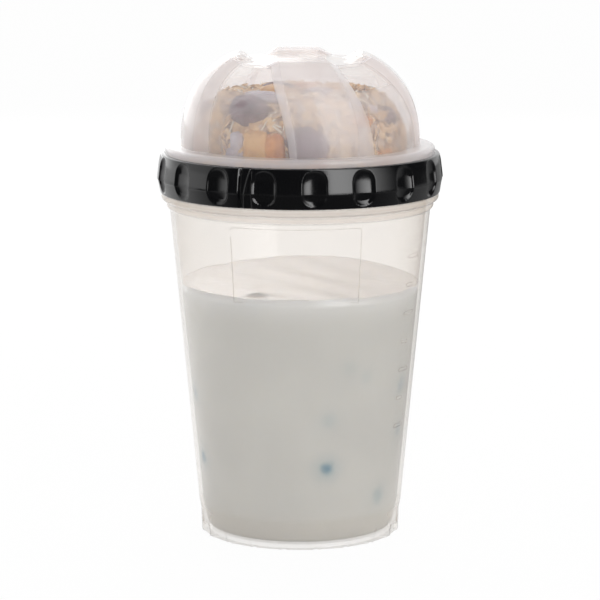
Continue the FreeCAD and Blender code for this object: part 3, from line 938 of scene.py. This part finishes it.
@dataclass(frozen=True)
class Lump:
    """A rounded lump of fruit, with unevenness given by a seed."""

    size: tuple[float, float, float]       # half lengths
    bumps: float                           # unevenness as a share of its size
    seed: int
    squareness: float = 0.0                # 0 for an egg shape, towards 1 for a block
    rings: int = 9

    def points(self, place: Matrix) -> tuple[np.ndarray, list[tuple[int, ...]]]:
        """Places and faces of the lump.

        Args:
            place: Where it goes, in millimetres.

        Returns:
            Its vertices and faces.
        """
        columns = self.rings * 2
        shift = Vector((self.seed * 3.7, self.seed * 1.3, 0))
        power = 1 - 0.62 * self.squareness
        vertices = []
        for ring in range(self.rings + 1):
            tilt = math.pi * ring / self.rings - math.pi / 2
            for column in range(columns if 0 < ring < self.rings else 1):
                turn = 2 * math.pi * column / columns
                flat = [math.cos(tilt) * math.cos(turn), math.cos(tilt) * math.sin(turn), math.sin(tilt)]
                way = Vector([math.copysign(abs(part) ** power, part) for part in flat])
                broad, fine = noise.noise(way * 1.7 + shift), noise.noise(way * 4.1 + shift)
                swell = 1 + self.bumps * (broad * 1.4 + 0.6 * fine)
                vertices.append(place @ Vector([part * half * swell for part, half in zip(way, self.size)]))
        faces: list[tuple[int, ...]] = []
        between = [1 + ring * columns for ring in range(self.rings - 1)]
        start = [0] + between + [1 + (self.rings - 1) * columns]
        for column in range(columns):
            after = (column + 1) % columns
            faces.append((0, start[1] + after, start[1] + column))
            for ring in range(1, self.rings - 1):
                low, high = start[ring], start[ring + 1]
                faces.append((low + column, low + after, high + after, high + column))
            top = start[self.rings]
            faces.append((start[self.rings - 1] + column, start[self.rings - 1] + after, top))
        return np.array(vertices), faces


def joined(name: str, parts: Sequence[tuple[np.ndarray, list[tuple[int, ...]]]]) -> bpy.types.Object:
    """One object from several lots of vertices and faces."""
    places, faces, first = [], [], 0
    for vertices, part_faces in parts:
        places.append(vertices)
        faces += [tuple(corner + first for corner in face) for face in part_faces]
        first += len(vertices)
    return mesh_object(name, np.vstack(places), faces)


# ---------------------------------------------------------------- muesli


@dataclass
class Scatter:
    """Copies of one shape strewn over another piece by Geometry Nodes, then baked to one mesh."""

    name: str
    density: float             # copies per square metre
    seed: int
    smallest: float = 0.75     # range of their scale
    largest: float = 1.2
    tilt: float = 0.6          # how far they tip, in radians
    gap: float = 0.0           # least distance between copies, in millimetres

    INPUTS = (("Grain", "NodeSocketObject"), ("Density", "NodeSocketFloat"), ("Gap", "NodeSocketFloat"),
              ("Seed", "NodeSocketInt"), ("Smallest", "NodeSocketFloat"), ("Largest", "NodeSocketFloat"),
              ("Tilt", "NodeSocketFloat"), ("Material", "NodeSocketMaterial"))

    def group(self) -> tuple[bpy.types.GeometryNodeTree, dict[str, str]]:
        """Builds the node group.

        Returns:
            The group and the identifier of each input.
        """
        group = bpy.data.node_groups.new(self.name, "GeometryNodeTree")
        group.interface.new_socket("Geometry", in_out="INPUT", socket_type="NodeSocketGeometry")
        names = {name: group.interface.new_socket(name, in_out="INPUT", socket_type=kind).identifier
                 for name, kind in self.INPUTS}
        group.interface.new_socket("Geometry", in_out="OUTPUT", socket_type="NodeSocketGeometry")

        def add(kind: str, settings: dict | None = None, links: dict | None = None) -> bpy.types.Node:
            made = group.nodes.new(kind)
            for key, value in (settings or {}).items():
                setattr(made, key, value)
            for key, value in (links or {}).items():
                if isinstance(value, bpy.types.NodeSocket):
                    group.links.new(value, made.inputs[key])
                else:
                    made.inputs[key].default_value = value
            return made

        given = add("NodeGroupInput").outputs
        points = add("GeometryNodeDistributePointsOnFaces", {"distribute_method": "POISSON"}, {
            "Mesh": given["Geometry"], "Density Max": given["Density"], "Distance Min": given["Gap"],
            "Seed": given["Seed"]})
        spin = add("FunctionNodeRandomValue", {"data_type": "FLOAT"}, {
            2: 0.0, 3: 2 * math.pi, "Seed": given["Seed"]})
        back = add("ShaderNodeMath", {"operation": "MULTIPLY"}, {0: given["Tilt"], 1: -1.0})
        tips = [add("FunctionNodeRandomValue", {"data_type": "FLOAT"}, {
            2: back.outputs[0], 3: given["Tilt"],
            "Seed": add("ShaderNodeMath", {"operation": "ADD"}, {0: given["Seed"], 1: step}).outputs[0]})
            for step in (1.0, 2.0)]
        euler = add("ShaderNodeCombineXYZ", None, {
            "X": tips[0].outputs[1], "Y": tips[1].outputs[1], "Z": spin.outputs[1]})
        turned = add("FunctionNodeRotateRotation", {"rotation_space": "LOCAL"}, {
            "Rotation": points.outputs["Rotation"],
            "Rotate By": add("FunctionNodeEulerToRotation", None, {0: euler.outputs[0]}).outputs[0]})
        scale = add("FunctionNodeRandomValue", {"data_type": "FLOAT"}, {
            2: given["Smallest"], 3: given["Largest"],
            "Seed": add("ShaderNodeMath", {"operation": "ADD"}, {0: given["Seed"], 1: 3.0}).outputs[0]})
        grain = add("GeometryNodeObjectInfo", None, {"Object": given["Grain"], "As Instance": True})
        copies = add("GeometryNodeInstanceOnPoints", None, {
            "Points": points.outputs["Points"], "Instance": grain.outputs["Geometry"],
            "Rotation": turned.outputs[0], "Scale": scale.outputs[1]})
        whole = add("GeometryNodeRealizeInstances", None, {0: copies.outputs[0]})
        coated = add("GeometryNodeSetMaterial", None, {0: whole.outputs[0], "Material": given["Material"]})
        add("NodeGroupOutput", None, {0: coated.outputs[0]})
        return group, names

    def build(self, ground: bpy.types.Object, grain: bpy.types.Object,
              finish: FoodFinish) -> bpy.types.Object:
        """Strews the grains and makes them one piece.

        Args:
            ground: The mesh that they lie on.
            grain: One grain, which is removed afterwards.
            finish: Their finish.

        Returns:
            The new piece.
        """
        piece = bpy.data.objects.new(self.name, ground.data.copy())
        bpy.context.scene.collection.objects.link(piece)
        group, names = self.group()
        modifier = piece.modifiers.new("strewn", "NODES")
        modifier.node_group = group
        material = finish.material()
        values = {"Grain": grain, "Density": self.density, "Gap": self.gap * MM, "Seed": self.seed,
                  "Smallest": self.smallest, "Largest": self.largest, "Tilt": self.tilt, "Material": material}
        for name, value in values.items():
            modifier[names[name]] = value
        piece.update_tag()
        baked(piece)
        dress(piece, material)
        bpy.data.objects.remove(grain)
        return adopt(piece, Slot.MUESLI)


@dataclass(frozen=True)
class Chunk:
    """One piece of dried fruit laid against the dome."""

    angle: float               # degrees from the front
    height: float
    reach: float               # distance of its middle from the axis
    size: tuple[float, float, float]
    turn: tuple[float, float, float] = (0.0, 0.0, 0.0)
    squareness: float = 0.6

    def part(self, seed: int, bumps: float) -> tuple[np.ndarray, list[tuple[int, ...]]]:
        """Its places and faces, with its own X sideways, Y inwards and Z up."""
        angle = math.radians(self.angle)
        middle = Vector((self.reach * math.sin(angle), -self.reach * math.cos(angle), self.height))
        spot = Matrix.Translation(middle)
        own = Matrix.Identity(4)
        for degrees, axis in zip(self.turn, "XYZ"):
            own = own @ Matrix.Rotation(math.radians(degrees), 4, axis)
        lump = Lump(self.size, bumps, seed, self.squareness, 12)
        return lump.points(spot @ Matrix.Rotation(angle, 4, "Z") @ own)


@dataclass
class Muesli:
    """Heap of oats, seeds, coconut and dried fruit under the dome."""

    foot_z: float
    top_z: float
    foot_radius: float = 38.2
    crown_radius: float = 26.0
    columns: int = 260

    def skin(self, share: float) -> float:
        """Mean radius of the heap at a share of its height."""
        return self.crown_radius + (self.foot_radius - self.crown_radius) * (1 - share ** 3.2) ** 0.6

    def core(self, finish: FoodFinish) -> bpy.types.Object:
        """Makes the smaller heap under the loose pieces, with the relief of fine grains."""
        rise = self.top_z - self.foot_z
        outline: Profile = [(0, self.foot_z + 0.05), (self.skin(0) - 1.6, self.foot_z + 0.05)]
        for step in range(1, 33):
            share = math.sin(step / 32 * math.pi / 2)
            height = self.foot_z + rise * share - 2.6 * share ** 2
            outline.append((self.skin(share) - 1.6 - 1.2 * share, height))
        outline += [(radius, outline[-1][1]) for radius in (18.0, 12.0, 6.0)]
        outline.append((0, outline[-1][1]))

        def uneven(radius: np.ndarray, angle: np.ndarray, height: np.ndarray) -> np.ndarray:
            share = (height - self.foot_z) / rise
            wave = 0.022 * (0.6 * np.sin(3 * angle + 2 * share) + 0.4 * np.sin(7 * angle - 5 * share) - 1)
            grains = np.vectorize(
                lambda r, a, h: noise.noise(Vector((r * math.sin(a), r * math.cos(a), h)) * 0.55))
            return radius * (1 + wave) + 0.9 * grains(radius, angle, height)

        piece = lathe("muesli_core", divided(outline, 1.1), self.columns, uneven)
        dress(piece, finish.material())
        return adopt(piece, Slot.MUESLI, "muesli")

    def build(self, finishes: dict[str, FoodFinish], chunks: dict[str, tuple[Chunk, ...]],
              scatters: dict[str, tuple[Scatter, Lump]]) -> None:
        """Makes the core, the strewn kinds and the laid fruit.

        Args:
            finishes: A finish for the core and for each kind.
            chunks: Laid fruit of each kind.
            scatters: How each strewn kind lies, and its grain.
        """
        core = self.core(finishes["core"])
        for name, (scatter, lump) in scatters.items():
            grain = joined("grain", [lump.points(Matrix.Identity(4))])
            scatter.build(core, grain, finishes[name])
        for name, laid in chunks.items():
            piece = joined(name, [chunk.part(31 + 7 * number, 0.10) for number, chunk in enumerate(laid)])
            dress(piece, finishes[name].material())
            adopt(piece, Slot.MUESLI)


# ---------------------------------------------------------------- marks on the cup


@dataclass
class WallMarks:
    """Low moulded lines on the cup's outside: a plain panel edge in front and a level scale at the side."""

    cup: Cup
    width: float = 0.26
    proud: float = 0.08

    def strip(self, route: Sequence[tuple[float, float]],
              closed: bool = True) -> tuple[np.ndarray, list[tuple[int, ...]]]:
        """A low ridge along a route of (degrees, height) on the wall."""
        places = []
        count = len(route)
        for number, (degrees, height) in enumerate(route):
            before, after = route[number - 1], route[(number + 1) % count]
            if not closed:
                before, after = route[max(number - 1, 0)], route[min(number + 1, count - 1)]
            way = Vector(((after[0] - before[0]) * 0.75, after[1] - before[1])).normalized()
            across = Vector((-way.y, way.x))
            for side, out in ((-1, -0.25), (-0.6, self.proud), (0.6, self.proud), (1, -0.25)):
                shift = across * (side * self.width / 2)
                z = height + shift.y
                radius = self.cup.outer(z) + out
                angle = math.radians(degrees) + shift.x / radius
                places.append((radius * math.sin(angle), -radius * math.cos(angle), z))
        faces = [(4 * a + c, 4 * a + (c + 1) % 4, 4 * b + (c + 1) % 4, 4 * b + c)
                 for a in range(count if closed else count - 1) for b in ((a + 1) % count,) for c in range(4)]
        if not closed:
            faces += [(0, 1, 2, 3), tuple(4 * count - step for step in (1, 2, 3, 4))]
        return np.array(places), faces

    @staticmethod
    def loop(left: float, right: float, low: float, high: float, corner: float) -> list[tuple[float, float]]:
        """A rounded rectangle in (degrees, height), clockwise from its lower left."""
        route = []
        for cx, cz, start in ((left, high, 180), (right, high, 90), (right, low, 0), (left, low, -90)):
            inward_x = corner * 1.3 * (1 if cx == left else -1)
            inward_z = corner * (1 if cz == low else -1)
            for step in range(7):
                angle = math.radians(start - step * 15)
                route.append((cx + inward_x + corner * 1.3 * math.cos(angle),
                              cz + inward_z + corner * math.sin(angle)))
        smooth: list[tuple[float, float]] = []
        for number, (x, z) in enumerate(route):
            nx, nz = route[(number + 1) % len(route)]
            parts = max(1, math.ceil(math.hypot((nx - x) * 0.75, nz - z) / 2.0))
            smooth += [(x + (nx - x) * part / parts, z + (nz - z) * part / parts) for part in range(parts)]
        return smooth

    def build(self, finish: MilkyPlastic) -> None:
        """Makes the panel's edge and the scale."""
        route = [place for place in self.loop(-31.5, 27.5, 84.0, 113.0, 1.2) if place[1] > 85.5]
        edge = joined("panel_edge", [self.strip(route, closed=False)])
        ticks = [self.strip(self.loop(58.0, 58.0 + (9.0 if number % 2 == 0 else 5.5), 40.0 + 10 * number,
                                      41.2 + 10 * number, 0.5)) for number in range(7)]
        scale = joined("level_scale", ticks)
        material = finish.material()
        for piece in (edge, scale):
            dress(piece, material)
            adopt(piece, Slot.CUP)


# ---------------------------------------------------------------- studio


@dataclass
class Studio:
    """Pale floor, soft light and the camera."""

    aim: Vector
    distance: float = 1.053
    elevation: float = 9.9
    lens: float = 180.0
    unlit: float = 0.03        # what shiny parts mirror where there is no box
    right_box: float = 5.4
    left_box: float = 1.3
    rear_boxes: float = 0.9

    def camera(self) -> None:
        """Makes the camera and sets it as the scene's."""
        data = bpy.data.cameras.new("camera")
        data.lens, data.sensor_width = self.lens, 36.0
        data.clip_start, data.clip_end = 0.05, 50.0
        made = bpy.data.objects.new("camera", data)
        tilt = math.radians(self.elevation)
        back = Vector((0, -math.cos(tilt), math.sin(tilt)))
        made.location = self.aim + back * self.distance
        made.rotation_euler = (-back).to_track_quat("-Z", "Y").to_euler()
        bpy.context.scene.collection.objects.link(made)
        bpy.context.scene.camera = made

    def floor(self) -> None:
        """Makes the white floor, which keeps the object's shadow."""
        piece = mesh_object("floor", np.array([(-4e3, -4e3, -0.05), (4e3, -4e3, -0.05), (4e3, 4e3, -0.05),
                                               (-4e3, 4e3, -0.05)]), [(0, 1, 2, 3)])
        material = bpy.data.materials.new("pale_floor")
        tree = Tree(material)
        path = tree.node("ShaderNodeLightPath")
        seen = Sock(tree, path.outputs["Is Camera Ray"])
        mirrored = Sock(tree, path.outputs["Is Glossy Ray"])
        spot = tree.node("ShaderNodeSeparateXYZ", None, {0: tree.place()}).outputs
        right = Sock(tree, spot["X"]).ramp(0.0, 0.15)
        bright = Sock(tree, spot["Y"]).ramp(-0.20, 0.10) * (0.94 - 0.64 * right) + 0.06
        matt = tree.node("ShaderNodeBsdfDiffuse", None, {"Color": (0.86, 0.86, 0.86, 1.0)})
        white = tree.node("ShaderNodeEmission", None, {
            "Color": (1.0, 1.0, 1.0, 1.0), "Strength": (bright * mirrored).larger(seen)})
        tree.finish(tree.node("ShaderNodeMixShader", None,
                              {0: (seen * 0.96).larger(mirrored), 1: matt.outputs[0], 2: white.outputs[0]}))
        dress(piece, material)

    def world(self, front: float, back: float) -> None:
        """Makes the surroundings: white where seen, and wide soft boxes on dark where mirrored.

        Args:
            front: Strength that lights the object from the camera's side.
            back: Strength that lights it from behind.
        """
        world = bpy.data.worlds.new("studio")
        bpy.context.scene.world = world
        tree = Tree(world)
        path = tree.node("ShaderNodeLightPath")
        facing = tree.node("ShaderNodeTexCoord").outputs["Generated"]
        way = tree.node("ShaderNodeSeparateXYZ", None, {0: facing})
        across, deep = Sock(tree, way.outputs["X"]), Sock(tree, way.outputs["Y"])
        high = Sock(tree, way.outputs["Z"])
        glossy = Sock(tree, path.outputs["Is Glossy Ray"])
        passed = Sock(tree, path.outputs["Is Transmission Ray"])
        seen = Sock(tree, path.outputs["Is Camera Ray"]).larger(passed)
        ambient = front + deep.ramp(0.0, 0.9) * (back - front)
        turn = across.turn(deep * -1.0)
        right_box = turn.ramp(18.0, 25.0) * (1.0 - turn.ramp(30.0, 88.0))
        left_box = (turn * -1.0).ramp(60.0, 84.0)
        rear = self.rear_boxes * turn.ramp(122.0, 142.0)
        rear = rear + self.rear_boxes * (turn * -1.0).ramp(122.0, 142.0)
        left = (self.left_box - 0.35 * high.ramp(0.05, 0.18)) * left_box
        mirrored = self.unlit + self.right_box * right_box + left + rear
        strength = (ambient + (mirrored - ambient) * glossy) * (1.0 - seen) + seen
        sky = tree.node("ShaderNodeBackground", None, {"Color": (1.0, 1.0, 1.0, 1.0), "Strength": strength})
        tree.finish(sky, "ShaderNodeOutputWorld")

    def lamp(self, name: str, angle: float, rise: float, size: tuple[float, float], power: float) -> None:
        """Makes a soft lamp that faces the object.

        Args:
            name: Its name.
            angle: Degrees round the object from the front, positive towards +X.
            rise: Degrees above the horizon.
            size: Its width and height in metres.
            power: Its power in watts.
        """
        data = bpy.data.lights.new(name, "AREA")
        data.shape, data.size, data.size_y, data.energy = "RECTANGLE", size[0], size[1], power
        turn, lift = math.radians(angle), math.radians(rise)
        way = Vector((math.sin(turn) * math.cos(lift), -math.cos(turn) * math.cos(lift), math.sin(lift)))
        made = bpy.data.objects.new(name, data)
        made.location = self.aim + way * 1.25
        made.rotation_euler = way.to_track_quat("Z", "Y").to_euler()
        made.visible_glossy = False
        bpy.context.scene.collection.objects.link(made)

    def build(self) -> None:
        """Makes everything round the object."""
        self.camera()
        self.floor()
        self.world(0.70, 1.15)
        self.lamp("key_right", 30.0, 20.0, (0.9, 0.8), 4.2)
        self.lamp("key_left", -60.0, 15.0, (0.8, 0.9), 1.6)
        self.lamp("back_light", 180.0, 22.0, (1.2, 0.5), 8.5)
        view = bpy.context.scene.view_settings
        view.view_transform = "Standard"
        bpy.context.scene.cycles.transparent_max_bounces = 24


# ---------------------------------------------------------------- the whole object


YOGURT_LEVEL = 88.4
RING_BORE = 46.95
AIM_HEIGHT = 81.5             # where the camera and the lamps point
CREAM, LOW_CREAM = (0.59, 0.588, 0.562), (0.56, 0.558, 0.537)
# the second colour on the next line is painted light, the lighter colour of the yogurt's open surface
BERRY_STAIN, PAINTED_LIGHT_CREAM = (0.18, 0.30, 0.37), (0.95, 0.96, 0.985)
# height, half width and strength of each band round the cup's bead
CUP_BANDS = {
    Mark.HAZE: ((118.9, 1.5, 0.6), (116.0, 1.2, 0.45), (124.4, 4.0, 0.6)),
    Mark.SHADE: ((117.6, 0.6, 0.75), (120.3, 0.5, 0.8), (114.9, 0.35, 0.8)),
}
CUP_PLASTIC = MilkyPlastic("clear_cup_plastic", (0.865, 0.775, 0.68), veil=0.105, haze=0.5, shine=0.012,
                           speck=0.015)
DOME_PLASTIC = MilkyPlastic("clear_dome_plastic", (0.93, 0.905, 0.92), veil=0.24, haze=0.28, shine=0.012)
DISC_PLASTIC = MilkyPlastic("clear_disc_plastic", (0.82, 0.77, 0.73), veil=0.12)
BERRY = FoodFinish("blue_berry_skin", (0.10, 0.16, 0.22), (0.04, 0.07, 0.11), 300.0, 0.08, 0.4)
MUESLI_FINISHES = {
    "core": FoodFinish("muesli_base", (0.64, 0.51, 0.40), (0.40, 0.29, 0.22), 160.0, 0.5, 0.75,
                       (0.70, 0.58, 0.44)),
    "oat_flakes": FoodFinish("rolled_oat", (0.86, 0.62, 0.35), (0.60, 0.38, 0.20), 260.0, 0.10, 0.75,
                             (0.74, 0.55, 0.38)),
    "coconut_strands": FoodFinish("dried_coconut", (0.86, 0.80, 0.68), (0.72, 0.63, 0.48), 300.0, 0.04, 0.5),
    "small_seeds": FoodFinish("brown_seed", (0.36, 0.22, 0.12), (0.16, 0.09, 0.05), 300.0, 0.05, 0.5),
    "dark_fruit": FoodFinish("dark_dried_fruit", (0.19, 0.11, 0.13), (0.08, 0.040, 0.05), 170.0, 0.5, 0.42),
    "yellow_fruit": FoodFinish("yellow_dried_fruit", (0.74, 0.45, 0.17), (0.60, 0.33, 0.12),
                               180.0, 0.35, 0.45, glow=0.2),
    "orange_fruit": FoodFinish("orange_dried_fruit", (0.70, 0.29, 0.05), (0.50, 0.18, 0.03),
                               180.0, 0.35, 0.42, glow=0.2),
    "pale_fruit": FoodFinish("pale_dried_fruit", (0.60, 0.56, 0.60), (0.44, 0.40, 0.45), 160.0, 0.35, 0.5,
                             glow=0.2),
}
CHUNKS = {
    "dark_fruit": (
        Chunk(-34.0, 150.6, 30.2, (7.6, 5.0, 5.6), (0, 8, 0), 0.1),
        Chunk(4.5, 139.6, 34.0, (7.6, 4.8, 6.6), (0, 30, 8), 0.1),
        Chunk(72.0, 146.0, 30.0, (6.0, 4.5, 4.4), (0, -12, 0), 0.1),
        Chunk(118.0, 141.5, 31.5, (6.8, 4.5, 5.0), (0, 14, 0), 0.1),
        Chunk(165.0, 148.0, 29.5, (6.4, 4.8, 4.6), (0, -9, 0), 0.1),
        Chunk(-150.0, 140.5, 32.0, (6.0, 4.2, 5.2), (0, 6, 0), 0.1),
        Chunk(-95.0, 147.5, 30.5, (6.2, 4.6, 4.5), (0, 12, 0), 0.1),
        Chunk(30.0, 155.0, 13.0, (6.0, 5.0, 2.6), (0, 0, 30), 0.1),
        Chunk(-140.0, 155.0, 12.0, (5.6, 4.8, 2.6), (0, 0, -20), 0.1)),
    "yellow_fruit": (
        Chunk(-24.5, 139.2, 34.4, (4.6, 3.0, 5.9), (0, 4, 0), 0.75),
        Chunk(88.0, 139.0, 34.0, (4.0, 3.0, 5.0), (0, -8, 0), 0.7),
        Chunk(142.0, 138.5, 34.0, (4.4, 3.0, 4.8), (0, 12, 0), 0.7),
        Chunk(-122.0, 139.0, 34.0, (4.2, 3.0, 5.0), (0, 5, 0), 0.7),
        Chunk(-60.0, 155.2, 10.0, (4.4, 4.2, 2.6), (0, 0, 15), 0.7),
        Chunk(110.0, 154.8, 14.5, (4.2, 4.0, 2.6), (0, 0, 50), 0.7)),
    "orange_fruit": (
        Chunk(-13.8, 139.0, 34.7, (3.7, 2.8, 5.6), (0, -7, 0), 0.45),
        Chunk(8.5, 133.8, 35.2, (3.6, 2.6, 3.2), (0, 10, 0), 0.5),
        Chunk(40.0, 147.0, 31.0, (5.0, 3.4, 2.2), (0, 6, 0), 0.5),
        Chunk(54.0, 134.0, 35.0, (4.6, 2.8, 3.6), (0, -9, 0), 0.5),
        Chunk(104.0, 134.5, 35.0, (4.4, 2.8, 4.0), (0, 9, 0), 0.5),
        Chunk(178.0, 136.0, 34.8, (4.4, 2.8, 4.4), (0, 4, 0), 0.5),
        Chunk(-75.0, 136.5, 34.8, (4.2, 2.8, 4.4), (0, -6, 0), 0.5),
        Chunk(160.0, 155.4, 6.0, (4.4, 3.6, 2.2), (0, 0, 40), 0.5)),
    "pale_fruit": (
        Chunk(-36.5, 138.8, 34.0, (3.2, 2.6, 5.6), (0, -3, 0), 0.75),
        Chunk(-30.0, 155.0, 24.5, (7.6, 4.0, 2.2), (0, 3, 0), 0.2),
        Chunk(38.0, 151.5, 26.5, (5.6, 3.4, 2.4), (0, -4, 0), 0.3),
        Chunk(56.0, 150.0, 27.5, (5.0, 3.4, 2.4), (0, 8, 0), 0.3),
        Chunk(-40.0, 135.0, 35.0, (3.0, 2.4, 4.0), (0, 5, 0), 0.5),
        Chunk(130.0, 149.0, 28.5, (5.2, 3.4, 2.6), (0, 5, 0), 0.3),
        Chunk(-110.0, 137.0, 34.6, (3.4, 2.4, 4.8), (0, 5, 0), 0.5)),
}
SCATTERS = {
    "oat_flakes": (Scatter("oat_flakes", 1.4e5, 5, 0.7, 1.15, 0.7, 2.1),
                   Lump((2.9, 2.1, 0.45), 0.22, 3, 0.1, 6)),
    "coconut_strands": (Scatter("coconut_strands", 4.2e4, 9, 0.7, 1.3, 0.5, 2.4),
                        Lump((3.6, 0.42, 0.32), 0.25, 5, 0.2, 5)),
    "small_seeds": (Scatter("small_seeds", 3.0e4, 14, 0.7, 1.2, 0.5, 3.0),
                    Lump((1.7, 1.0, 0.6), 0.1, 8, 0.0, 5)),
}


def main() -> None:
    """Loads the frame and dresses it."""
    logging.basicConfig(level=logging.INFO, format="%(message)s")
    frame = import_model()
    boxes = Frame.read(("cup", "yogurt", "grip_ring", "divider", "dome", "muesli"))

    cup = Cup(rim_z=boxes.high("cup"), bead_radius=boxes.reach("cup"))
    cup.build(CUP_PLASTIC)
    WallMarks(cup).build(CUP_PLASTIC)
    yogurt = Yogurt(cup, YOGURT_LEVEL)
    yogurt.build(CREAM, LOW_CREAM, BERRY_STAIN, PAINTED_LIGHT_CREAM)
    yogurt.build_berries(BERRY)
    ring = Ring(boxes.low("grip_ring"), boxes.high("grip_ring"), boxes.reach("grip_ring"), RING_BORE)
    ring.build(BlackPlastic())
    Dome(boxes.low("dome"), boxes.high("dome"), boxes.reach("dome")).build(DOME_PLASTIC)
    for slot in frame["nodes"]["divider"].material_slots:
        slot.material = DISC_PLASTIC.material()
    Muesli(boxes.low("muesli"), boxes.high("muesli")).build(MUESLI_FINISHES, CHUNKS, SCATTERS)

    Studio(Vector((0, 0, AIM_HEIGHT * MM))).build()


if __name__ == "__main__":
    main()
